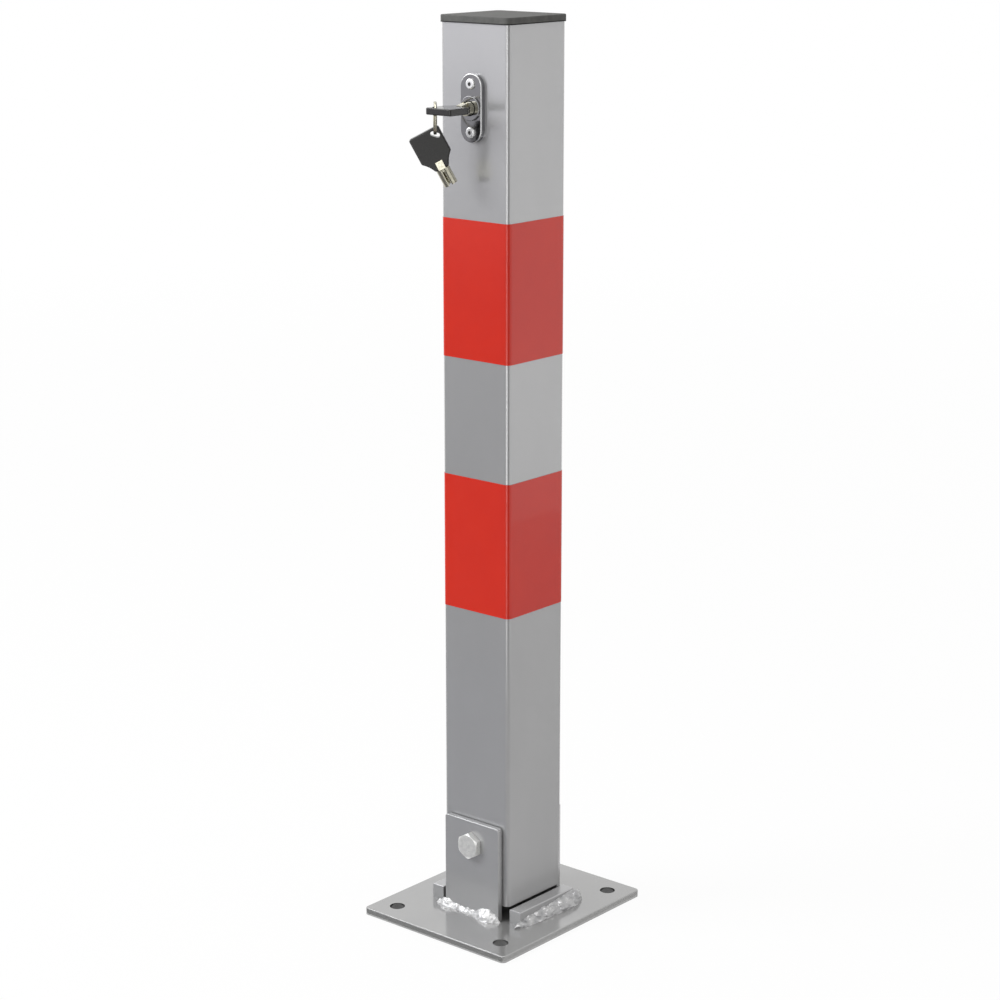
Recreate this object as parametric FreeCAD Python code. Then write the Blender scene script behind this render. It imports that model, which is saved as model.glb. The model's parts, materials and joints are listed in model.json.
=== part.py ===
# Lockable parking post that is lifted off its stop bars and folded flat.
# Millimetres. The origin is the middle of the base plate's underside, +Z is up,
# and the lock faces -Y. The post is drawn unlocked and lifted, ready to fold.
import FreeCAD, Part
import math
import os

from FreeCAD import Matrix, Placement, Vector

# Base plate
plate_x = 132.0
plate_y = 155.0
plate_t = 5.0
plate_corner_r = 3.5
plate_edge_r = 0.8
anchor_x = 98.0
anchor_y = 121.0
anchor_hole_d = 11.0

# Post tube and its place above the plate
tube_w = 60.0
tube_wall = 2.0
tube_corner_r = 3.5
tube_length = 618.4
foot_gap = 0.8
lift_travel = 10.0

# Ears, stop bars and welds
ear_w = 50.0
ear_t = 4.0
ear_h = 70.0
ear_gap = 1.0
ear_corner_r = 2.0
ear_edge_r = 0.6
stop_w = 10.0
stop_h = 10.0
stop_length = 60.0
stop_gap = 1.5
stop_edge_r = 0.8
ear_weld_leg = 4.6
bar_weld_leg = 6.0
weld_bulge = 0.8
weld_short = 1.0

# Pivot bolt, nut, washer and sleeves
bolt_z = 57.5
bolt_d = 10.0
bolt_clear = 0.1
slot_clear = 0.3
hex_af = 17.0
hex_land = 0.4
head_h = 4.6
nut_h = 6.6
nut_collar_h = 3.2
nut_collar_d = 14.0
bolt_tail = 2.0
washer_d = 20.0
washer_t = 2.0
turn_gap = 0.15
sleeve_d = 15.0
sleeve_gap = 0.5

# Tie bar, catch pin and guide
bar_w = 20.0
bar_t = 4.0
bar_y = 3.0
bar_above_pin = 8.0
pin_d = 5.0
pin_past_cam = 0.8
pin_head_d = 8.0
pin_head_t = 1.5
guide_below_pin = 35.0
guide_t = 2.0
guide_fold = 18.0
guide_clear = 0.3

# Cap and bands
cap_lid_t = 4.8
cap_over = 1.0
cap_edge_r = 0.7
cap_skirt = 14.0
cap_wall = 2.0
cap_fit = 0.5
cap_rib_w = 1.6
cap_rib_count = 3
cap_rib_fit = 0.05
band_h = 95.5
band_t = 0.25
band_below_top = 130.2
band_gap = 83.0
band_lap = 10.0

# Lock
lock_below_top = 55.2
lock_plate_w = 18.5
lock_plate_h = 46.0
lock_plate_t = 3.5
lock_plate_edge_r = 0.9
screw_spacing = 32.0
screw_d = 3.0
screw_head_d = 7.4
screw_head_h = 2.2
screw_seat = 0.8
screw_socket_af = 2.5
screw_socket_depth = 1.3
collar_d = 16.6
collar_t = 1.4
collar_edge_r = 0.5
housing_d = 15.4
housing_inside = 21.7
housing_clear = 0.1
backing_w = 30.0
backing_h = 50.0
backing_t = 2.5
backing_corner_r = 3.0
lock_nut_af = 20.0
lock_nut_t = 4.0
plug_d = 12.6
plug_clear = 0.08
lip_t = 2.6
key_post_d = 6.0
key_mouth_d = 10.2
tail_d = 8.0
tail_flats = 6.0
cam_t = 3.0
cam_gap = 0.5
hub_d = 14.0
pin_from_lock = 14.0
jaw_gap = 0.3
jaw_lift_gap = 0.7
jaw_tip_deg = 20.0
jaw_back_deg = 45.0
jaw_web_deg = 20.0
cam_screw_d = 4.0
cam_screw_depth = 8.0
cam_head_d = 9.0
cam_head_t = 2.6

# Keys and ring
key_w = 22.0
key_length = 27.0
key_straight = 18.6
key_tip_w = 10.0
key_t = 4.6
key_corner_r = 1.6
key_flank_dip = 0.7
key_edge_r = 0.8
key_from_lock = 4.5
key_end_clear = 0.3
key_hole_back = 4.6
key_hole_side = 6.6
key_hole_l = 6.6
key_hole_w = 3.2
barrel_d = 9.4
barrel_bore_d = 6.6
barrel_length = 12.0
barrel_groove = 2.0
groove_past_bore = 0.3
barrel_web = 2.0
tang_w = 7.0
tang_t = 2.6
tang_length = 10.0
neck_w = 5.0
neck_length = 5.6
neck_proud = 0.25
ring_r = 10.4
ring_wire_d = 1.1
ring_pitch = 1.04
ring_yaw_deg = 40.5
ring_hang_deg = 32.0
spare_lean_deg = 28.0
spare_tip_deg = 4.0

# Places that follow from the sizes above
foot_z = plate_t + foot_gap + lift_travel
tube_top = foot_z + tube_length
tube_half = tube_w / 2
tube_inside = tube_half - tube_wall
ear_in = tube_half + ear_gap
ear_out = ear_in + ear_t
stop_in = tube_half + stop_gap
lock_z = tube_top - lock_below_top
lock_face = -tube_half - lock_plate_t - collar_t
housing_back = -tube_half + housing_inside
cam_front = housing_back + cam_gap
cam_back = cam_front + cam_t
pin_z = lock_z - pin_from_lock - lift_travel
key_tip = lock_face - key_from_lock
key_end = key_tip - key_length
groove_end = key_tip + barrel_length + key_end_clear
upper_band_z = tube_top - band_below_top - band_h
lower_band_z = upper_band_z - band_gap - band_h


def box(low, high):
    size = Vector(*high) - Vector(*low)
    return Part.makeBox(size.x, size.y, size.z, Vector(*low))


def rod(d, y0, y1, x=0.0, z=0.0):
    """Round bar along Y."""
    return Part.makeCylinder(d / 2, y1 - y0, Vector(x, y0, z), Vector(0, 1, 0))


def square_bar(w, r, z0, z1):
    """Square column about the Z axis with rounded corners."""
    h = w / 2
    body = box((-h, -h, z0), (h, h, z1))
    return body.makeFillet(r, edges_along(body, Vector(0, 0, 1)))


def edges_along(shape, way):
    """Straight edges of a shape that run one way."""
    found = []
    for edge in shape.Edges:
        if isinstance(edge.Curve, Part.Line) and abs(edge.Curve.Direction.dot(way)) > 0.999:
            found.append(edge)
    return found


def edges_at(shape, axis, place):
    """Edges of a shape that lie whole in one plane across an axis, such as its top rim."""
    found = []
    for edge in shape.Edges:
        low = getattr(edge.BoundBox, axis + "Min")
        high = getattr(edge.BoundBox, axis + "Max")
        if abs(low - place) < 1e-4 and abs(high - place) < 1e-4:
            found.append(edge)
    return found


def obround(length, width, y0, y1, z):
    """Prism along Y with two straight sides and round ends, centred on x = 0."""
    reach = (length - width) / 2
    ends = [rod(width, y0, y1, 0, z - reach), rod(width, y0, y1, 0, z + reach)]
    middle = box((-width / 2, y0, z - reach), (width / 2, y1, z + reach))
    return ends[0].fuse([ends[1], middle]).removeSplitter()


def hex_corner_r(af):
    """From the middle of a hexagon to its corners."""
    return af / 2 / math.cos(math.pi / 6)


def hex_prism(af, y0, y1, z):
    """Hexagon prism along Y with two flats upright."""
    points = []
    for k in range(7):
        turn = math.radians(60 * k + 30)
        points.append(Vector(math.cos(turn), 0, math.sin(turn)) * hex_corner_r(af) + Vector(0, y0, z))
    return Part.Face(Part.makePolygon(points)).extrude(Vector(0, y1 - y0, 0))


def hexagon(af, y0, y1, z, at_low):
    """Hexagon prism along Y with the corners of one end turned off."""
    wide = hex_corner_r(af) + (y1 - y0) * math.sqrt(3)
    near = af / 2 - hex_land
    cone_h = (wide - near) / math.sqrt(3)
    if at_low:
        cone = Part.makeCone(near, wide, cone_h, Vector(0, y0, z), Vector(0, 1, 0))
    else:
        cone = Part.makeCone(near, wide, cone_h, Vector(0, y1, z), Vector(0, -1, 0))
    return hex_prism(af, y0, y1, z).common(cone)


def base_plate():
    body = box((-plate_x / 2, -plate_y / 2, 0), (plate_x / 2, plate_y / 2, plate_t))
    body = body.makeFillet(plate_corner_r, edges_along(body, Vector(0, 0, 1)))
    body = body.makeFillet(plate_edge_r, edges_at(body, "Z", plate_t))
    for sx in (-1, 1):
        for sy in (-1, 1):
            place = Vector(sx * anchor_x / 2, sy * anchor_y / 2, 0)
            body = body.cut(Part.makeCylinder(anchor_hole_d / 2, plate_t, place))
    return body


def ear(side):
    """Upright flat with the bolt hole; side -1 is the front one."""
    y0, y1 = sorted((side * ear_in, side * ear_out))
    body = box((-ear_w / 2, y0, plate_t), (ear_w / 2, y1, plate_t + ear_h))
    top = [e for e in edges_along(body, Vector(0, 1, 0)) if e.BoundBox.ZMin > plate_t + ear_h / 2]
    body = body.makeFillet(ear_corner_r, top)
    rim = [e for e in edges_at(body, "Y", side * ear_out) if e.BoundBox.ZMax > plate_t + ear_edge_r]
    body = body.makeFillet(ear_edge_r, rim)
    return body.cut(rod(bolt_d + 2 * bolt_clear, y0, y1, 0, bolt_z))


def stop_bar(side):
    x0, x1 = sorted((side * stop_in, side * (stop_in + stop_w)))
    body = box((x0, -stop_length / 2, plate_t), (x1, stop_length / 2, plate_t + stop_h))
    top = edges_at(body, "Z", plate_t + stop_h)
    return body.makeFillet(stop_edge_r, top)


def weld_bead(leg, length):
    """Convex fillet bead in the corner of the X and Z axes, along Y."""
    middle = leg / 2 + weld_bulge
    foot = Vector(leg, -length / 2, 0)
    crown = Vector(middle, -length / 2, middle)
    head = Vector(0, -length / 2, leg)
    root = Vector(0, -length / 2, 0)
    outline = [
        Part.LineSegment(root, foot).toShape(),
        Part.Arc(foot, crown, head).toShape(),
        Part.LineSegment(head, root).toShape(),
    ]
    return Part.Face(Part.Wire(outline)).extrude(Vector(0, length, 0))


def welds(leg, length, out, turns):
    """One bead on each side of the post, at a distance out from its middle."""
    beads = []
    for turn in turns:
        bead = weld_bead(leg, length - 2 * weld_short)
        bead.translate(Vector(out, 0, plate_t))
        bead.rotate(Vector(0, 0, 0), Vector(0, 0, 1), turn)
        beads.append(bead)
    return Part.makeCompound(beads)


def pivot_bolt():
    seat = -ear_out - turn_gap
    end = ear_out + turn_gap + washer_t + nut_h + nut_collar_h + bolt_tail
    head = hexagon(hex_af, seat - head_h, seat, bolt_z, True)
    shank = rod(bolt_d, seat, end, 0, bolt_z)
    tip = edges_at(shank, "Y", end)
    return head.fuse(shank.makeChamfer(bolt_d / 10, tip)).removeSplitter()


def pivot_washer():
    y0 = ear_out + turn_gap
    ring = rod(washer_d, y0, y0 + washer_t, 0, bolt_z)
    return ring.cut(rod(bolt_d + 2 * bolt_clear, y0, y0 + washer_t, 0, bolt_z))


def pivot_nut():
    y0 = ear_out + turn_gap + washer_t
    y1 = y0 + nut_h
    y2 = y1 + nut_collar_h
    body = hexagon(hex_af, y0, y1, bolt_z, False)
    collar = rod(nut_collar_d, y1, y2, 0, bolt_z)
    collar = collar.makeFillet(nut_collar_h / 3, edges_at(collar, "Y", y2))
    return body.fuse(collar).cut(rod(bolt_d, y0, y2, 0, bolt_z))


def sleeve(side):
    """Spacer on the bolt between the tie bar and the tube's wall."""
    bar_face = bar_y + side * bar_t / 2
    y0, y1 = sorted((bar_face, side * (tube_inside - sleeve_gap)))
    body = rod(sleeve_d, y0, y1, 0, bolt_z)
    return body.cut(rod(bolt_d + 2 * bolt_clear, y0, y1, 0, bolt_z))


def tie_bar():
    y0 = bar_y - bar_t / 2
    y1 = bar_y + bar_t / 2
    bar = box((-bar_w / 2, y0, bolt_z), (bar_w / 2, y1, pin_z + bar_above_pin))
    bar = bar.fuse(rod(bar_w, y0, y1, 0, bolt_z)).removeSplitter()
    bar = bar.cut(rod(bolt_d + 2 * bolt_clear, y0, y1, 0, bolt_z))
    return bar.cut(rod(pin_d, y0, y1, 0, pin_z))


def catch_pin():
    """Pin through the tie bar, with its rivet head behind, into the hook's plane."""
    y1 = bar_y + bar_t / 2
    shank = rod(pin_d, cam_front - pin_past_cam, y1, 0, pin_z)
    head = rod(pin_head_d, y1, y1 + pin_head_t, 0, pin_z)
    return shank.fuse(head)


def post_tube():
    outside = square_bar(tube_w, tube_corner_r, foot_z, tube_top)
    inside = square_bar(tube_w - 2 * tube_wall, tube_corner_r - tube_wall, foot_z, tube_top)
    body = outside.cut(inside)
    slot_w = bolt_d + 2 * slot_clear
    body = body.cut(obround(lift_travel + slot_w, slot_w, -tube_half, tube_half, bolt_z + lift_travel / 2))
    body = body.cut(rod(housing_d + 2 * housing_clear, -tube_half, -tube_inside, 0, lock_z))
    for side in (-1, 1):
        body = body.cut(rod(screw_d, -tube_half, -tube_inside, 0, lock_z + side * screw_spacing / 2))
    return body


def top_cap():
    lid = square_bar(tube_w + 2 * cap_over, tube_corner_r + cap_over, tube_top, tube_top + cap_lid_t)
    lid = lid.makeFillet(cap_edge_r, edges_at(lid, "Z", tube_top + cap_lid_t))
    inner_w = tube_w - 2 * tube_wall
    outer_r = tube_corner_r - tube_wall
    low = tube_top - cap_skirt
    skirt = square_bar(inner_w - 2 * cap_fit, outer_r, low, tube_top)
    ribs = []
    for k in range(cap_rib_count):
        z0 = low + (2 * k + 1) * cap_skirt / (2 * cap_rib_count) - cap_rib_w / 2
        ribs.append(square_bar(inner_w - 2 * cap_rib_fit, outer_r, z0, z0 + cap_rib_w))
    hollow_w = inner_w - 2 * cap_fit - 2 * cap_wall
    hollow = square_bar(hollow_w, outer_r, low, tube_top)
    return lid.fuse([skirt.fuse(ribs).cut(hollow)]).removeSplitter()


def band(z0):
    """Film round the tube, its end lapped over its start at the back."""
    outside = square_bar(tube_w + 2 * band_t, tube_corner_r + band_t, z0, z0 + band_h)
    film = outside.cut(square_bar(tube_w, tube_corner_r, z0, z0 + band_h))
    back = tube_half + band_t
    lap = box((-band_lap / 2, back, z0), (band_lap / 2, back + band_t, z0 + band_h))
    return film.fuse(lap)


def lock_plate():
    front = -tube_half - lock_plate_t
    body = obround(lock_plate_h, lock_plate_w, front, -tube_half, lock_z)
    body = body.makeFillet(lock_plate_edge_r, edges_at(body, "Y", front))
    body = body.cut(rod(housing_d + 2 * housing_clear, front, -tube_half, 0, lock_z))
    for side in (-1, 1):
        z = lock_z + side * screw_spacing / 2
        body = body.cut(rod(screw_d, front, -tube_half, 0, z))
        body = body.cut(rod(screw_head_d, front, front + screw_seat, 0, z))
    return body


def lock_screws():
    front = -tube_half - lock_plate_t + screw_seat
    screws = []
    for side in (-1, 1):
        z = lock_z + side * screw_spacing / 2
        face = front - screw_head_h
        head = rod(screw_head_d, face, front, 0, z)
        head = head.makeFillet(screw_head_h / 2, edges_at(head, "Y", face))
        head = head.cut(hex_prism(screw_socket_af, face, face + screw_socket_depth, z))
        screws.append(head.fuse(rod(screw_d, front, -tube_inside + backing_t, 0, z)))
    return Part.makeCompound(screws)


def lock_housing():
    collar = rod(collar_d, lock_face, lock_face + collar_t, 0, lock_z)
    collar = collar.makeFillet(collar_edge_r, edges_at(collar, "Y", lock_face))
    body = collar.fuse(rod(housing_d, lock_face + collar_t, housing_back, 0, lock_z))
    body = body.cut(rod(key_mouth_d, lock_face, lock_face + lip_t, 0, lock_z))
    return body.cut(rod(plug_d + 2 * plug_clear, lock_face + lip_t, housing_back, 0, lock_z))


def backing_plate():
    y0 = -tube_inside
    y1 = y0 + backing_t
    body = box((-backing_w / 2, y0, lock_z - backing_h / 2), (backing_w / 2, y1, lock_z + backing_h / 2))
    body = body.makeFillet(backing_corner_r, edges_along(body, Vector(0, 1, 0)))
    body = body.cut(rod(housing_d + 2 * housing_clear, y0, y1, 0, lock_z))
    for side in (-1, 1):
        body = body.cut(rod(screw_d, y0, y1, 0, lock_z + side * screw_spacing / 2))
    return body


def lock_nut():
    y0 = -tube_inside + backing_t
    body = hexagon(lock_nut_af, y0, y0 + lock_nut_t, lock_z, False)
    return body.cut(rod(housing_d, y0, y0 + lock_nut_t, 0, lock_z))


def tie_bar_guide():
    """Folded plate across the tube: a web with the bar's slot and two welded flanges."""
    z0 = pin_z - guide_below_pin
    web = box((-tube_inside, -tube_inside, z0), (tube_inside, tube_inside, z0 + guide_t))
    corner_r = tube_corner_r - tube_wall
    web = web.makeFillet(corner_r, edges_along(web, Vector(0, 0, 1)))
    flat = tube_inside - corner_r
    for side in (-1, 1):
        x0, x1 = sorted((side * tube_inside, side * (tube_inside - guide_t)))
        web = web.fuse(box((x0, -flat, z0 - guide_fold), (x1, flat, z0 + guide_t)))
    slot_x = bar_w / 2 + guide_clear
    slot_y = bar_t / 2 + guide_clear
    slot = box((-slot_x, bar_y - slot_y, z0), (slot_x, bar_y + slot_y, z0 + guide_t))
    return web.cut(slot).removeSplitter()


def tail_section(clear, y0, y1):
    """Round tail with two flats, which turns the hook."""
    body = rod(tail_d + 2 * clear, y0, y1, 0, lock_z)
    half = tail_flats / 2 + clear
    return body.common(box((-half, y0, lock_z - tail_d), (half, y1, lock_z + tail_d)))


def lock_plug():
    front = lock_face + lip_t + plug_clear
    body = rod(plug_d, front, housing_back, 0, lock_z)
    body = body.cut(rod(key_mouth_d, front, groove_end, 0, lock_z))
    body = body.fuse(rod(key_post_d, lock_face, groove_end, 0, lock_z))
    body = body.fuse(tail_section(0, housing_back, cam_back))
    return body.cut(rod(cam_screw_d, cam_back - cam_screw_depth, cam_back, 0, lock_z))


def cam_point(r, deg):
    """Point of the hook's outline, by its angle from +X towards -Z."""
    turn = math.radians(deg)
    return Vector(r * math.cos(turn), cam_front, lock_z - r * math.sin(turn))


def hook_cam():
    """Hook whose jaw swings under the catch pin when the key is turned a quarter."""
    jaw_in = pin_from_lock + pin_d / 2 + jaw_gap
    jaw_out = pin_from_lock + lift_travel - pin_d / 2 - jaw_lift_gap
    web_deg = jaw_web_deg - jaw_back_deg
    centre = cam_point(0, 0)
    outer_back = cam_point(jaw_out, -jaw_back_deg)
    outer_middle = cam_point(jaw_out, (jaw_tip_deg - jaw_back_deg) / 2)
    outer_tip = cam_point(jaw_out, jaw_tip_deg)
    inner_tip = cam_point(jaw_in, jaw_tip_deg)
    inner_middle = cam_point(jaw_in, (jaw_tip_deg + web_deg) / 2)
    inner_web = cam_point(jaw_in, web_deg)
    outline = [
        Part.LineSegment(centre, outer_back).toShape(),
        Part.Arc(outer_back, outer_middle, outer_tip).toShape(),
        Part.LineSegment(outer_tip, inner_tip).toShape(),
        Part.Arc(inner_tip, inner_middle, inner_web).toShape(),
        Part.LineSegment(inner_web, centre).toShape(),
    ]
    arm = Part.Face(Part.Wire(outline)).extrude(Vector(0, cam_t, 0))
    body = arm.fuse(rod(hub_d, cam_front, cam_back, 0, lock_z)).removeSplitter()
    return body.cut(tail_section(plug_clear, cam_front, cam_back))


def cam_screw():
    head = rod(cam_head_d, cam_back, cam_back + cam_head_t, 0, lock_z)
    head = head.makeFillet(cam_head_t / 3, edges_at(head, "Y", cam_back + cam_head_t))
    return head.fuse(rod(cam_screw_d, cam_back - cam_screw_depth, cam_back, 0, lock_z))


def flat_key_head():
    """Key head drawn flat: X across, Y towards the tip, from its back end at y = 0."""
    low = -key_t / 2
    backs = []
    shoulders = []
    tips = []
    flanks = []
    for side in (-1, 1):
        back = Vector(side * key_w / 2, 0, low)
        shoulder = Vector(side * key_w / 2, key_straight, low)
        tip = Vector(side * key_tip_w / 2, key_length, low)
        chord = tip - shoulder
        dip = Vector(-side * chord.y, side * chord.x, 0).normalize() * key_flank_dip
        flanks.append(Part.Arc(shoulder, (shoulder + tip) / 2 + dip, tip).toShape())
        backs.append(back)
        shoulders.append(shoulder)
        tips.append(tip)
    outline = [
        Part.LineSegment(backs[0], backs[1]).toShape(),
        Part.LineSegment(backs[1], shoulders[1]).toShape(),
        flanks[1],
        Part.LineSegment(tips[1], tips[0]).toShape(),
        flanks[0],
        Part.LineSegment(shoulders[0], backs[0]).toShape(),
    ]
    body = Part.Face(Part.Wire(outline)).extrude(Vector(0, 0, key_t))
    body = body.makeFillet(key_corner_r, edges_along(body, Vector(0, 0, 1)))
    rims = edges_at(body, "Z", key_t / 2) + edges_at(body, "Z", -key_t / 2)
    body = body.makeFillet(key_edge_r, rims)
    return body.cut([key_tang(), key_hole()])


def key_tang():
    """Flat tang inside the head, with a neck that rises from the upper face to the barrel."""
    tang = box((-tang_w / 2, key_length - tang_length, -tang_t / 2), (tang_w / 2, key_length, tang_t / 2))
    start = key_length - neck_length
    low = key_t / 2 + neck_proud
    high = math.sqrt((barrel_d / 2) ** 2 - (neck_w / 2) ** 2)
    side = [(start, 0), (start, low), (key_length, high), (key_length, 0), (start, 0)]
    outline = Part.makePolygon([Vector(-neck_w / 2, y, z) for y, z in side])
    return tang.fuse(Part.Face(outline).extrude(Vector(neck_w, 0, 0)))


def hole_end():
    """From the middle of the key's hole to the middle of its outer round end."""
    reach = (key_hole_l - key_hole_w) / 2
    return Vector(reach, -reach, 0) / math.sqrt(2)


def key_hole():
    """Slot across the back corner of the key, for the ring."""
    middle = Vector(-key_hole_side, key_hole_back, -key_t / 2)
    ends = []
    for side in (-1, 1):
        ends.append(Part.makeCylinder(key_hole_w / 2, key_t, middle + side * hole_end()))
    long = hole_end().Length
    bar = box((-long, -key_hole_w / 2, -key_t / 2), (long, key_hole_w / 2, key_t / 2))
    bar.rotate(Vector(0, 0, 0), Vector(0, 0, 1), -45)
    bar.translate(Vector(middle.x, middle.y, 0))
    return ends[0].fuse([ends[1], bar])


def flat_key_barrel():
    """Tubular barrel with its key groove, on the tang that the head holds."""
    y1 = key_length + barrel_length
    body = rod(barrel_d, key_length, y1)
    body = body.cut(rod(barrel_bore_d, key_length + barrel_web, y1))
    floor = barrel_bore_d / 2 - groove_past_bore
    groove = box((-barrel_groove / 2, key_length, floor), (barrel_groove / 2, y1, barrel_d))
    return body.cut(groove).fuse(key_tang())


def in_lock(shape):
    """Key as it lies flat in the lock."""
    shape.translate(Vector(0, key_end, lock_z))
    return shape


def ring_way():
    """Level direction of the ring's plane, away from the key's hole."""
    turn = math.radians(ring_yaw_deg)
    return Vector(-math.sin(turn), math.cos(turn), 0)


def ring_centre():
    """The ring's wire crosses the key's hole and hangs until it meets the hole's end."""
    hang = math.radians(ring_hang_deg)
    hole = Vector(-key_hole_side, key_end + key_hole_back, lock_z)
    return hole + ring_r * math.cos(hang) * ring_way() - Vector(0, 0, ring_r * math.sin(hang))


def key_ring():
    """Split ring: two turns of wire side by side."""
    across = ring_way().cross(Vector(0, 0, 1))
    turns = []
    for side in (-1, 1):
        middle = ring_centre() + side * ring_pitch / 2 * across
        turns.append(Part.makeTorus(ring_r, ring_wire_d / 2, middle, across))
    return turns[0].fuse(turns[1])


def on_ring(shape):
    """Second key, hanging by its hole from the ring's lowest point, its barrel tipped back."""
    lean = math.radians(spare_lean_deg)
    tip = math.radians(spare_tip_deg)
    level = ring_way().cross(Vector(0, 0, 1))
    down = math.sin(tip) * ring_way() - Vector(0, 0, math.cos(tip))
    along = math.sin(lean) * level + math.cos(lean) * down
    across = -math.cos(lean) * level + math.sin(lean) * down
    out = across.cross(along)
    hung = Vector(-key_hole_side, key_hole_back, 0)
    turn = Matrix(
        across.x, along.x, out.x, 0,
        across.y, along.y, out.y, 0,
        across.z, along.z, out.z, 0,
        0, 0, 0, 1,
    )
    lowest = ring_centre() - Vector(0, 0, ring_r)
    place = Placement(turn)
    place.Base = lowest - place.Rotation.multVec(hung)
    shape.Placement = place
    return shape


def parts():
    """Every piece by its name."""
    return {
        "base_plate": base_plate(),
        "front_ear": ear(-1),
        "rear_ear": ear(1),
        "left_stop_bar": stop_bar(-1),
        "right_stop_bar": stop_bar(1),
        "ear_welds": welds(ear_weld_leg, ear_w, ear_out, (-90, 90)),
        "bar_welds": welds(bar_weld_leg, stop_length, stop_in + stop_w, (0, 180)),
        "pivot_bolt": pivot_bolt(),
        "pivot_washer": pivot_washer(),
        "pivot_nut": pivot_nut(),
        "front_sleeve": sleeve(-1),
        "rear_sleeve": sleeve(1),
        "tie_bar": tie_bar(),
        "catch_pin": catch_pin(),
        "post_tube": post_tube(),
        "top_cap": top_cap(),
        "lower_band": band(lower_band_z),
        "upper_band": band(upper_band_z),
        "lock_plate": lock_plate(),
        "lock_screws": lock_screws(),
        "lock_housing": lock_housing(),
        "backing_plate": backing_plate(),
        "lock_nut": lock_nut(),
        "tie_bar_guide": tie_bar_guide(),
        "lock_plug": lock_plug(),
        "hook_cam": hook_cam(),
        "cam_screw": cam_screw(),
        "key_barrel": in_lock(flat_key_barrel()),
        "key_head": in_lock(flat_key_head()),
        "key_ring": key_ring(),
        "spare_key_barrel": on_ring(flat_key_barrel()),
        "spare_key_head": on_ring(flat_key_head()),
    }


os.makedirs("parts", exist_ok=True)
for name, shape in parts().items():
    shape.exportStep("parts/" + name + ".step")
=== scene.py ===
# Lockable parking post: silver paint, red film, weld beads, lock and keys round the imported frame.
import bpy
import json
import math
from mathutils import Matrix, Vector


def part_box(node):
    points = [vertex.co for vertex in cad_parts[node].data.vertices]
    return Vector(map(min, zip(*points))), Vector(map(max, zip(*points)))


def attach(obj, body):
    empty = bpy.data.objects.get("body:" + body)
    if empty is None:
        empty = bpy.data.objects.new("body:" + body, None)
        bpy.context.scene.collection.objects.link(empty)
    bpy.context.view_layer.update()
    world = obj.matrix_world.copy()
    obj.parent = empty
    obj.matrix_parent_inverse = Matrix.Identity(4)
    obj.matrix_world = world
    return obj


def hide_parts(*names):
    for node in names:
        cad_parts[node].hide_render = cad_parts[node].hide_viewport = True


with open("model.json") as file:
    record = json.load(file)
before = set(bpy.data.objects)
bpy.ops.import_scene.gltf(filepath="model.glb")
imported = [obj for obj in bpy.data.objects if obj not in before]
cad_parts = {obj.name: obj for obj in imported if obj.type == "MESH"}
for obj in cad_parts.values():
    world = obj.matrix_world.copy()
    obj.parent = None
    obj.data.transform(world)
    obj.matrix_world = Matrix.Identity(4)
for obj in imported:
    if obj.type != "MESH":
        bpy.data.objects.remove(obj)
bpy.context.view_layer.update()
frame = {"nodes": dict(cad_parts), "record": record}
nodes = frame["nodes"]
mm = 0.001
print("frame loaded:", len(nodes), "nodes")

# Camera, at the height and turn of the picture

cameraSetup = {
    "place": (1.0995, -1.2941, 0.7416),
    "tilt": 75.57,  # degrees from straight down
    "turn": 40.43,
    "lens": 90.26,
    "sensor": 36,
}


def addCamera(setup):
    lens = bpy.data.cameras.new("postCamera")
    lens.lens = setup["lens"]
    lens.sensor_width = setup["sensor"]
    camera = bpy.data.objects.new("postCamera", lens)
    camera.location = setup["place"]
    camera.rotation_euler = (math.radians(setup["tilt"]), 0, math.radians(setup["turn"]))
    bpy.context.scene.collection.objects.link(camera)
    bpy.context.scene.camera = camera


addCamera(cameraSetup)

# Shader nodes that the studio and the finishes share


def emptyTree(owner):
    owner.use_nodes = True
    owner.node_tree.nodes.clear()
    return owner.node_tree


def objectPlace(tree):
    return tree.nodes.new("ShaderNodeTexCoord").outputs["Object"]


def objectAxis(tree, axis):
    split = tree.nodes.new("ShaderNodeSeparateXYZ")
    tree.links.new(objectPlace(tree), split.inputs[0])
    return split.outputs[axis]


def mathOf(tree, operation, first, second):
    step = tree.nodes.new("ShaderNodeMath")
    step.operation = operation
    tree.links.new(first, step.inputs[0])
    tree.links.new(second, step.inputs[1])
    return step.outputs[0]


noiseLow, noiseHigh = 0.3, 0.7  # most of a noise's values lie between


def spread(tree, socket, low, high, start=noiseLow, end=noiseHigh, easing="LINEAR"):
    fit = tree.nodes.new("ShaderNodeMapRange")
    fit.interpolation_type = easing
    fit.inputs["From Min"].default_value = start
    fit.inputs["From Max"].default_value = end
    fit.inputs["To Min"].default_value = low
    fit.inputs["To Max"].default_value = high
    tree.links.new(socket, fit.inputs["Value"])
    return fit.outputs["Result"]


# Floor, white surround and soft boxes

studio = {
    "floorSize": 60,
    "floorColour": (0.9, 0.9, 0.9, 1),
    "floorGlow": (0.93, 1.0),  # share of plain white seen in the floor, near the post and far off
    "floorFade": (0.7, 3.0),  # metres from the post
    "surround": 0.52,  # strength of the surround as a light
    "surroundTint": (1.0, 0.985, 0.96, 1),
}
softBoxes = {
    "leftBox": {"place": (-1.5, -1.75, 1.7), "size": 1.2, "power": 40, "tint": (0.96, 0.98, 1.0)},
    "topBox": {"place": (0.1, 0.3, 2.6), "size": 1.5, "power": 20, "tint": (1.0, 1.0, 1.0)},
}
boxAim = Vector((0, 0, 0.35))  # about the middle of the post


def seenWhite(tree):
    path = tree.nodes.new("ShaderNodeLightPath")
    seen = mathOf(tree, "MAXIMUM", path.outputs["Is Camera Ray"], path.outputs["Is Glossy Ray"])
    return mathOf(tree, "MAXIMUM", seen, path.outputs["Is Transmission Ray"])


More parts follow.
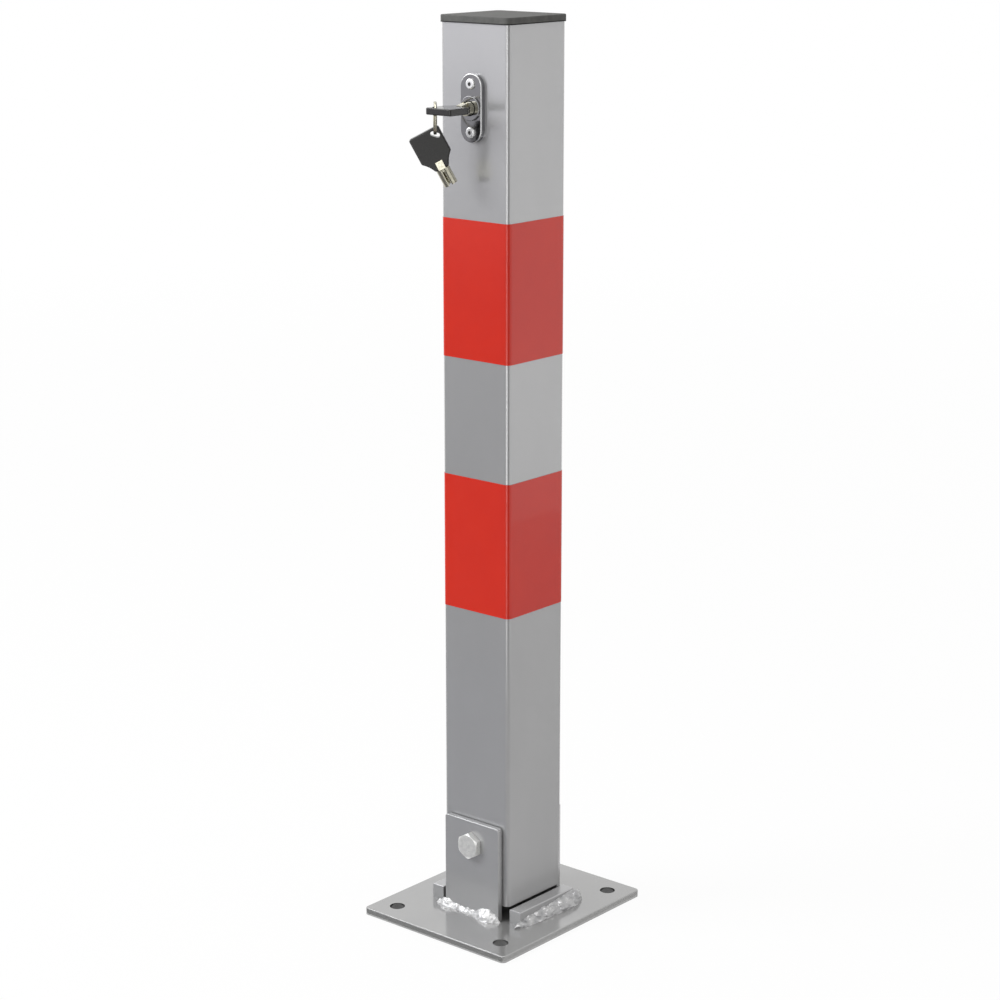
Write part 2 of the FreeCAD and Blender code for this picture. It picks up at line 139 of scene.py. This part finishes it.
def mixShaders(tree, share, first, second, outKind):
    mix = tree.nodes.new("ShaderNodeMixShader")
    out = tree.nodes.new(outKind)
    tree.links.new(share, mix.inputs["Fac"])
    tree.links.new(first.outputs[0], mix.inputs[1])
    tree.links.new(second.outputs[0], mix.inputs[2])
    tree.links.new(mix.outputs[0], out.inputs["Surface"])


def addFloor(setup):
    bpy.ops.mesh.primitive_plane_add(size=setup["floorSize"])
    floor = bpy.context.object
    floor.name = "floor"
    mat = bpy.data.materials.new("paleFloor")
    tree = emptyTree(mat)
    matt = tree.nodes.new("ShaderNodeBsdfDiffuse")
    matt.inputs["Color"].default_value = setup["floorColour"]
    glow = tree.nodes.new("ShaderNodeEmission")
    away = tree.nodes.new("ShaderNodeVectorMath")
    away.operation = "LENGTH"
    tree.links.new(objectPlace(tree), away.inputs[0])
    fade = spread(tree, away.outputs["Value"], *setup["floorGlow"], *setup["floorFade"])
    mixShaders(tree, mathOf(tree, "MULTIPLY", seenWhite(tree), fade), matt, glow, "ShaderNodeOutputMaterial")
    floor.data.materials.append(mat)


def addSurround(setup):
    world = bpy.data.worlds.new("whiteSurround")
    bpy.context.scene.world = world
    tree = emptyTree(world)
    asLight = tree.nodes.new("ShaderNodeBackground")
    asLight.inputs["Color"].default_value = setup["surroundTint"]
    asLight.inputs["Strength"].default_value = setup["surround"]
    asSeen = tree.nodes.new("ShaderNodeBackground")
    asSeen.inputs["Color"].default_value = (1, 1, 1, 1)
    mixShaders(tree, seenWhite(tree), asLight, asSeen, "ShaderNodeOutputWorld")


def addSoftBox(name, setup):
    lamp = bpy.data.lights.new(name, "AREA")
    lamp.size = setup["size"]
    lamp.energy = setup["power"]
    lamp.color = setup["tint"]
    box = bpy.data.objects.new(name, lamp)
    box.location = setup["place"]
    box.rotation_euler = (boxAim - box.location).to_track_quat("-Z", "Y").to_euler()
    bpy.context.scene.collection.objects.link(box)


addFloor(studio)
addSurround(studio)
for boxName, boxSetup in softBoxes.items():
    addSoftBox(boxName, boxSetup)
bpy.context.scene.view_settings.view_transform = "Standard"

# Cards and mats round the post that only its gloss shows, with their glow at both ends of the fade

cards = {  # upright: the turn is from -Y towards +X, the rise tips a card back
    "edgeCard": {
        "turn": -55, "away": 0.72, "rise": 45, "middle": 0.85, "width": 0.9, "height": 0.5,
        "glow": (7.0, 7.0),
    },
    "greyCard": {
        "turn": -40, "away": 0.62, "width": 0.9, "height": 0.9,
        "glow": (0.25, 1.0), "fade": (0.30, 0.62), "tint": (0.98, 0.97, 1.03),
    },
    "brightStrip": {"turn": 19, "away": 0.7, "width": 0.09, "height": 0.9, "glow": (4.0, 4.0)},
    "darkStrip": {"turn": 58, "away": 0.7, "width": 0.34, "height": 0.9, "glow": (0.06, 0.06)},
}
mats = {  # on the floor, from corner to corner
    "leftMat": {
        "low": (-0.8, -0.8), "high": (0.067, -0.088),
        "glow": (0.25, 0.25), "tint": (0.96, 0.98, 1.10),
    },
    "edgeMat": {"low": (-0.08, -0.088), "high": (0.067, -0.0785), "glow": (0.04, 0.04)},
    "rightMat": {"low": (0.0675, -0.0785), "high": (0.75, 0.9), "glow": (0.64, 0.64)},
    "nearMat": {"low": (0.0675, -0.8), "high": (0.75, -0.079), "glow": (0.45, 0.45)},
}
matRise = 0.5 * mm  # above the floor


def cardGlow(name, setup):
    mat = bpy.data.materials.new(name)
    tree = emptyTree(mat)
    fade = setup.get("fade", (0, 1))
    strength = spread(tree, objectAxis(tree, "Z"), *setup["glow"], *fade, easing="SMOOTHSTEP")
    glow = tree.nodes.new("ShaderNodeEmission")
    glow.inputs["Color"].default_value = (*setup.get("tint", (1, 1, 1)), 1)
    tree.links.new(strength, glow.inputs["Strength"])
    out = tree.nodes.new("ShaderNodeOutputMaterial")
    tree.links.new(glow.outputs[0], out.inputs["Surface"])
    return mat


def standCard(card, setup):
    turn = math.radians(setup["turn"])
    away = setup["away"]
    middle = setup.get("middle", setup["height"] / 2)
    card.scale = (setup["width"], setup["height"], 1)
    card.rotation_euler = (math.radians(90 - setup.get("rise", 0)), 0, turn)
    card.location = (away * math.sin(turn), -away * math.cos(turn), middle)


def layMat(card, setup):
    low, high = Vector(setup["low"]), Vector(setup["high"])
    card.scale = (*(high - low), 1)
    card.location = (*((low + high) / 2), matRise)


def addCard(name, setup, place):
    bpy.ops.mesh.primitive_plane_add(size=1)
    card = bpy.context.object
    card.name = name
    place(card, setup)
    bpy.ops.object.transform_apply()
    card.data.materials.append(cardGlow(name, setup))
    for kind in ("camera", "diffuse", "transmission", "shadow", "volume_scatter"):
        setattr(card, "visible_" + kind, False)


for cardName, cardSetup in cards.items():
    addCard(cardName, cardSetup, standCard)
for matName, matSetup in mats.items():
    addCard(matName, matSetup, layMat)
print("studio lit:", len(softBoxes), "soft boxes,", len(cards) + len(mats), "cards and mats")

# Shader nodes of the finishes


def noiseOf(tree, scale, detail, stretch=(1, 1, 1)):
    mapping = tree.nodes.new("ShaderNodeMapping")
    mapping.inputs["Scale"].default_value = stretch
    noise = tree.nodes.new("ShaderNodeTexNoise")
    noise.inputs["Scale"].default_value = scale
    noise.inputs["Detail"].default_value = detail
    tree.links.new(objectPlace(tree), mapping.inputs["Vector"])
    tree.links.new(mapping.outputs[0], noise.inputs["Vector"])
    return noise.outputs["Fac"]


def toneSteps(tree, socket, tones):
    ramp = tree.nodes.new("ShaderNodeValToRGB")
    marks = ramp.color_ramp.elements
    while len(marks) < len(tones):
        marks.new(0.5)
    for mark, (position, tone) in zip(marks, tones):
        mark.position = position
        mark.color = (*tone, 1)
    tree.links.new(socket, ramp.inputs["Fac"])
    return ramp.outputs["Color"]


def mixTones(tree, share, first, second):
    mix = tree.nodes.new("ShaderNodeMix")
    mix.data_type = "RGBA"
    tree.links.new(share, mix.inputs["Factor"])
    tree.links.new(first, mix.inputs["A"])
    mix.inputs["B"].default_value = (*second, 1)
    return mix.outputs["Result"]


# Paints shade into round holes: inside the radius the tone turns to the given shade colour
def paintShadeInHoles(tree, tone, holeShade, middle, across, hole, radius):
    last = objectPlace(tree)
    steps = [("SUBTRACT", middle), ("ABSOLUTE", None), ("MULTIPLY", across), ("DISTANCE", hole)]
    for operation, value in steps:  # the holes lie alike on both sides of the middle
        step = tree.nodes.new("ShaderNodeVectorMath")
        step.operation = operation
        tree.links.new(last, step.inputs[0])
        if value is not None:
            step.inputs[1].default_value = value
        last = step.outputs["Value" if operation == "DISTANCE" else "Vector"]
    inside = tree.nodes.new("ShaderNodeMath")
    inside.operation = "LESS_THAN"
    inside.inputs[1].default_value = radius
    tree.links.new(last, inside.inputs[0])
    return mixTones(tree, inside.outputs[0], tone, holeShade)


def addBump(tree, shader, socket, depth):
    bump = tree.nodes.new("ShaderNodeBump")
    bump.inputs["Distance"].default_value = depth
    tree.links.new(socket, bump.inputs["Height"])
    tree.links.new(bump.outputs["Normal"], shader.inputs["Normal"])


def cloudTone(tree, cloud, setup):
    return toneSteps(tree, cloud, [(noiseLow, setup["dark"]), (noiseHigh, setup["light"])])


# A finish takes its tone from clouds, or from a toneOf that adds painted shade or a painted highlight, its
# roughness from the clouds or from a finer flake, and may have a bump
def makeFinish(name, setup, toneOf=cloudTone):
    mat = bpy.data.materials.new(name)
    mat.use_nodes = True
    tree = mat.node_tree
    shader = tree.nodes["Principled BSDF"]
    for socket, value in setup["shader"].items():
        shader.inputs[socket].default_value = value
    cloud = noiseOf(tree, *setup["cloud"])
    tree.links.new(toneOf(tree, cloud, setup), shader.inputs["Base Color"])
    flake = noiseOf(tree, *setup["flake"]) if "flake" in setup else cloud
    tree.links.new(spread(tree, flake, *setup["roughness"]), shader.inputs["Roughness"])
    if "bump" in setup:
        addBump(tree, shader, noiseOf(tree, *setup["bump"]), setup["bumpDepth"])
    return mat


# Finishes: cloud, flake and bump are noises by their scale, detail and stretch

silverPaint = {
    "dark": (0.445, 0.446, 0.452),
    "light": (0.480, 0.481, 0.486),
    "cloud": (14, 4, (1, 1, 0.35)),
    "flake": (2600, 2),
    "roughness": (0.19, 0.25),
    "bump": (420, 2),  # orange peel
    "bumpDepth": 0.000006,  # metres
    "shader": {"Metallic": 0.48, "Coat Weight": 0.5, "Coat Roughness": 0.20},
}
platePaint = {
    **silverPaint,
    "dark": (0.380, 0.381, 0.380),
    "light": (0.415, 0.415, 0.412),
    "roughness": (0.13, 0.19),
    "shader": {**silverPaint["shader"], "Coat Roughness": 0.03},
    "bareWall": (0.10, 0.10, 0.10),  # painted shade on the drilled walls of the anchor holes
    "wallMargin": 0.05,  # mm past the holes' walls
}


# The plate's cloud tone, with painted shade on the walls of the anchor holes
def plateTone(tree, cloud, setup):
    anchors = [mount for mount in frame["record"]["mounts"] if mount["name"] == "anchor_holes"]
    dims = anchors[0]["dims"]
    hole = (dims["spacing_x_mm"] / 2 * mm, dims["spacing_y_mm"] / 2 * mm, 0)
    radius = (dims["hole_r_mm"] + setup["wallMargin"]) * mm
    tone = cloudTone(tree, cloud, setup)
    return paintShadeInHoles(tree, tone, setup["bareWall"], (0, 0, 0), (1, 1, 0), hole, radius)


brightWeld = {
    "dark": (0.50, 0.50, 0.51),
    "light": (0.86, 0.86, 0.86),
    "cloud": (190, 3),
    "roughness": (0.38, 0.22),
    "bump": (420, 2),
    "bumpDepth": 0.00009,
    "shader": {"Metallic": 0.35, "Coat Weight": 0.3, "Coat Roughness": 0.12},
}
paintedWeld = {
    **brightWeld,
    "dark": (0.33, 0.33, 0.34),
    "light": (0.56, 0.56, 0.56),
    "roughness": (0.40, 0.24),
    "shader": {**brightWeld["shader"], "Metallic": 0.5},
}
zincPlate = {
    "dark": (0.64, 0.64, 0.63),
    "light": (0.82, 0.82, 0.80),
    "cloud": (330, 4),
    "roughness": (0.42, 0.26),
    "bump": (240, 1),
    "bumpDepth": 0.00002,
    "shader": {"Metallic": 0.45},
}
millSteel = {
    "dark": (0.30, 0.30, 0.31),
    "light": (0.46, 0.46, 0.46),
    "cloud": (160, 4, (1, 1, 0.08)),
    "roughness": (0.3, 0.5),
    "bump": (160, 4, (1, 1, 0.08)),
    "bumpDepth": 0.00003,
    "shader": {"Metallic": 1.0},
}
capPlastic = {
    "dark": (0.084, 0.084, 0.081),
    "light": (0.120, 0.120, 0.116),
    "lip": (0.012, 0.012, 0.012),  # painted shadow line along the lid's lower edge
    "lipHeight": (0.55, 0.90),  # mm above the tube's end where the painted shadow line fades out
    "cloud": (240, 5),
    "roughness": (0.62, 0.80),
    "bump": (1100, 3),
    "bumpDepth": 0.00005,
    "shader": {"Specular IOR Level": 0.18},
}


# The cap's cloud tone, darkened to a painted shadow line just above the tube's end
def capToneAndLipShadow(tree, cloud, setup):
    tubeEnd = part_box("post_tube")[1].z
    start, end = [tubeEnd + rise * mm for rise in setup["lipHeight"]]
    lip = spread(tree, objectAxis(tree, "Z"), 1, 0, start, end)
    return mixTones(tree, lip, cloudTone(tree, cloud, setup), setup["lip"])


redFilm = {
    "dark": (0.600, 0.013, 0.001),
    "light": (0.635, 0.016, 0.001),
    "cloud": (22, 3),
    "flake": (300, 2),
    "roughness": (0.20, 0.25),
    "bump": (160, 2),
    "bumpDepth": 0.000006,
    "shader": {"Specular IOR Level": 0.42, "Coat Weight": 0.4, "Coat Roughness": 0.03},
}
lockChrome = {
    "dark": (0.25, 0.25, 0.255),
    "light": (0.31, 0.31, 0.312),
    "cloud": (260, 3),
    "roughness": (0.08, 0.14),
    "shader": {"Metallic": 1.0},
}
# Lock plate: dark chrome with a painted highlight along its rounded rim
lockPlateChrome = {
    "face": (0.26, 0.26, 0.262),
    "rim": (0.66, 0.66, 0.66),
    "side": (0.26, 0.26, 0.27),
    "rimStart": (0.04, 0.14),  # mm behind the face where the dark face turns to the painted highlight
    "rimEnd": (0.6, 1.0),  # and back to dark
    "cloud": (260, 3),
    "roughness": (0.09, 0.15),
    "shader": {"Metallic": 1.0},
}


def lockPlateToneAndRimHighlight(tree, cloud, setup):  # by depth alone: dark face, a painted highlight along the rim, dark side; the clouds only roughen it
    low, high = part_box("lock_plate")
    share = [depth * mm / (high.y - low.y) for depth in (*setup["rimStart"], *setup["rimEnd"])]
    tones = [setup["face"], setup["rim"], setup["rim"], setup["side"]]
    inward = spread(tree, objectAxis(tree, "Y"), 0, 1, low.y, high.y)
    return toneSteps(tree, inward, list(zip(share, tones)))


screwNickel = {
    "dark": (0.72, 0.72, 0.72),
    "light": (0.88, 0.88, 0.87),
    # painted shade in the sockets of the screw heads
    "socket": (0.20, 0.20, 0.20),
    "socketRadius": 1.35,  # mm
    "cloud": (700, 3),
    "roughness": (0.30, 0.20),
    "shader": {"Metallic": 0.85},
}


# The screws' cloud tone, with painted shade in each head's socket
def screwToneAndSocketShade(tree, cloud, setup):
    low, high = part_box("lock_screws")
    reach = (high.z - low.z - (high.x - low.x)) / 2  # from the lock's middle to a screw's
    tone = cloudTone(tree, cloud, setup)
    radius = setup["socketRadius"] * mm
    return paintShadeInHoles(tree, tone, setup["socket"], (low + high) / 2, (1, 0, 1), (0, 0, reach), radius)


keyNickel = {
    "dark": (0.40, 0.38, 0.30),
    "light": (0.58, 0.56, 0.46),
    "cloud": (600, 4),
    "roughness": (0.3, 0.16),
    "shader": {"Metallic": 1.0},
}
keyPlastic = {
    "dark": (0.016, 0.0155, 0.015),
    "light": (0.026, 0.025, 0.024),
    "cloud": (1800, 3),
    "roughness": (0.09, 0.14),
    "bump": (1800, 3),
    "bumpDepth": 0.000008,
    "shader": {},
}
slotFinishes = {
    "grey_paint": makeFinish("silverPaint", silverPaint),
    "weld_bead": makeFinish("brightWeld", brightWeld),
    "zinc_plate": makeFinish("zincPlate", zincPlate),
    "bare_steel": makeFinish("millSteel", millSteel),
    "cap_plastic": makeFinish("capPlastic", capPlastic, capToneAndLipShadow),
    "red_film": makeFinish("redFilm", redFilm),
    "lock_metal": makeFinish("lockChrome", lockChrome),
    "key_steel": makeFinish("keyNickel", keyNickel),
    "key_plastic": makeFinish("keyPlastic", keyPlastic),
}
ownFinishes = {  # of pieces that differ from the rest of their slot, partly by painted shade in holes and sockets and a painted highlight on the lock plate's rim
    "base_plate": makeFinish("platePaint", platePaint, plateTone),
    "lock_plate": makeFinish("lockPlateChrome", lockPlateChrome, lockPlateToneAndRimHighlight),
    "lock_screws": makeFinish("screwNickel", screwNickel, screwToneAndSocketShade),
}
for part in frame["record"]["subparts"]:
    mesh = nodes[part["node"]].data
    mesh.materials.clear()
    mesh.materials.append(ownFinishes.get(part["node"], slotFinishes[part["material_slot"]]))
print("finishes given:", len(slotFinishes) + len(ownFinishes))

# Weld beads: drops of metal that ran together, cut off flat where they lie on plate and flat

beadShape = {
    "voxel": 0.4,  # mm
    "facets": 3,  # subdivisions of a drop
    "stretch": 0.85,  # of each drop along the bead
    "lumps": (5.0, 1.3),  # size and depth of the lumps, mm
    "ridges": (4.2, 0.6),
    "sunk": 0.4,  # share of a drop's radius that its middle lies behind plate and wall
    "cutMargin": 1e-7,  # metres, within which a point counts as on the cut
    "crease": 55,  # degrees, past which an edge stays sharp
}
earBead = {
    "drops": (  # place along the ear, leg and lift of each drop, mm
        (-30.0, 2.0, -0.4), (-27.5, 3.6, -0.2), (-24.5, 5.0, 0), (-21.5, 5.2, 0), (-18.0, 4.0, 0),
        (-13.5, 3.3, 0), (-8.5, 3.0, 0), (-3.5, 3.1, 0), (1.5, 3.4, 0), (6.0, 3.8, 0),
        (9.5, 5.2, 0), (12.5, 6.6, 0.4), (15.5, 7.0, 0.3), (18.5, 6.0, 0), (21.0, 4.4, 0),
        (23.0, 2.8, -0.2),
    ),
    "drawnOut": 1.2,  # how much longer the lumps are along the bead
}
barBead = {
    "drops": (  # along the bar
        (-31.5, 3.6, 0), (-28.0, 4.0, 0), (-24.0, 4.4, 0.2), (-20.0, 5.0, 0.2), (-16.0, 4.8, 0.4),
        (-12.0, 5.6, 0.4), (-8.0, 5.2, 0.6), (-4.0, 6.0, 0.5), (0.5, 5.6, 0.8), (5.0, 6.6, 0.6),
        (9.0, 6.0, 1.0), (13.0, 7.0, 0.8), (17.0, 6.4, 1.2), (21.0, 6.8, 1.2), (25.0, 6.4, 2.0),
        (28.0, 5.8, 2.8), (30.0, 4.8, 3.0), (31.5, 3.4, 1.4), (32.5, 2.6, 0),
    ),
    "drawnOut": 2.4,
}
leftStart = -18  # mm, the bead on the hidden left side is shorter
leftBead = {**barBead, "drops": [drop for drop in barBead["drops"] if drop[0] > leftStart]}


def onlySelect(pieces):
    bpy.ops.object.select_all(action="DESELECT")
    for piece in pieces:
        piece.select_set(True)
    bpy.context.view_layer.objects.active = pieces[0]


def joined(name, pieces):
    onlySelect(pieces)
    bpy.ops.object.join()
    whole = bpy.context.object
    whole.name = name
    whole.data.name = name
    bpy.ops.object.transform_apply()
    return whole


def cutFlat(piece, place, normal):
    onlySelect([piece])
    bpy.ops.object.mode_set(mode="EDIT")
    bpy.ops.mesh.select_all(action="SELECT")
    bpy.ops.mesh.bisect(
        plane_co=place, plane_no=normal, clear_inner=True, threshold=beadShape["cutMargin"])
    bpy.ops.mesh.select_all(action="SELECT")
    bpy.ops.mesh.fill_holes(sides=0)  # holes of any number of sides
    bpy.ops.object.mode_set(mode="OBJECT")


def roughen(piece, kind, size, depth):
    texture = bpy.data.textures.new(piece.name + kind, kind)
    texture.noise_scale = size * mm
    if kind == "MUSGRAVE":
        texture.musgrave_type = "RIDGED_MULTIFRACTAL"
    push = piece.modifiers.new("push", "DISPLACE")
    push.texture = texture
    push.texture_coords = "LOCAL"
    push.strength = depth * mm
    bpy.ops.object.modifier_apply(modifier=push.name)


def scaleAlong(along, share):
    return [1 + abs(way) * (share - 1) for way in along]


def drawOut(piece, along, share):
    onlySelect([piece])
    piece.scale = scaleAlong(along, share)
    bpy.ops.object.transform_apply()


def layBead(name, setup, start, along, outward):
    drops = []
    sunk = beadShape["sunk"]
    upward = Vector((0, 0, 1))
    for place, leg, lift in setup["drops"]:
        radius = leg / (math.sqrt(1 - sunk * sunk) - sunk)
        middle = start + (along * place - (outward + upward) * radius * sunk + upward * lift) * mm
        bpy.ops.mesh.primitive_ico_sphere_add(
            subdivisions=beadShape["facets"], radius=radius * mm, location=middle)
        drop = bpy.context.object
        drop.scale = scaleAlong(along, beadShape["stretch"])
        drops.append(drop)
    bead = joined(name, drops)
    fuse = bead.modifiers.new("fuse", "REMESH")
    fuse.mode = "VOXEL"
    fuse.voxel_size = beadShape["voxel"] * mm
    bpy.ops.object.modifier_apply(modifier=fuse.name)
    drawOut(bead, along, 1 / setup["drawnOut"])
    roughen(bead, "CLOUDS", *beadShape["lumps"])
    roughen(bead, "MUSGRAVE", *beadShape["ridges"])
    drawOut(bead, along, setup["drawnOut"])
    cutFlat(bead, start, upward)
    cutFlat(bead, start, outward)
    bpy.ops.object.shade_smooth_by_angle(angle=math.radians(beadShape["crease"]))
    return bead


def weldPair(name, node, beads, finish):
    pair = joined(name, beads)
    pair.data.materials.append(finish)
    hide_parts(node)
    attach(pair, "base")


alongX, alongY = Vector((1, 0, 0)), Vector((0, 1, 0))
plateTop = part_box("base_plate")[1].z
frontFoot = Vector((0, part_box("front_ear")[0].y, plateTop))
rightFoot = Vector((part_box("right_stop_bar")[1].x, 0, plateTop))
weldPair("earWeldBeads", "ear_welds", [
    layBead("frontBead", earBead, frontFoot, alongX, -alongY),
    layBead("rearBead", earBead, frontFoot * Vector((1, -1, 1)), -alongX, alongY),
], slotFinishes["weld_bead"])
weldPair("barWeldBeads", "bar_welds", [
    layBead("rightBead", barBead, rightFoot, alongY, alongX),
    layBead("leftBead", leftBead, rightFoot * Vector((-1, 1, 1)), alongY, -alongX),
], makeFinish("paintedWeld", paintedWeld))
print("weld beads laid: 4")

# Split ring: two flat turns of wire, with a jog from one to the other

splitRing = {
    "wire": 1.1,  # mm
    "pitch": 1.04,  # from turn to turn, mm
    "jog": 50,  # degrees of the crossing
    "ends": 140,  # degrees from the ring's far side to its wire ends
    "steps": 40,  # points to a turn
    "roundness": 3,  # of the wire's section
}


def bendRing(setup):
    low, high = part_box("key_ring")
    middle = (low + high) / 2
    radius = (high.z - low.z) / 2 - setup["wire"] * mm / 2
    swing = [joint for joint in frame["record"]["behaviour"]["joints"] if joint["name"] == "ring_swing"][0]
    across = Vector(swing["axis"]).normalized()
    away = Vector((0, 0, 1)).cross(across)
    wire = bpy.data.curves.new("splitRing", "CURVE")
    wire.dimensions = "3D"
    wire.bevel_depth = setup["wire"] * mm / 2
    wire.bevel_resolution = setup["roundness"]
    wire.use_fill_caps = True
    line = wire.splines.new("POLY")
    count = 2 * setup["steps"]
    line.points.add(count)
    for k in range(count + 1):
        turned = 360 * k / setup["steps"]
        crossed = min(max((turned - 360 + setup["jog"]) / setup["jog"], 0), 1)
        eased = crossed * crossed * (3 - 2 * crossed)
        aside = (eased - 0.5) * setup["pitch"] * mm
        angle = math.radians(turned * (count - 1) / count + setup["ends"])
        spoke = away * math.cos(angle) + Vector((0, 0, math.sin(angle)))
        line.points[k].co = (*(middle + spoke * radius + across * aside), 1)
    ring = bpy.data.objects.new("splitRing", wire)
    bpy.context.scene.collection.objects.link(ring)
    onlySelect([ring])
    bpy.ops.object.convert(target="MESH")
    ring = bpy.context.object
    bpy.ops.object.shade_smooth()
    ring.data.materials.append(slotFinishes["key_steel"])
    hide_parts("key_ring")
    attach(ring, "ring")


bendRing(splitRing)
print("split ring bent")
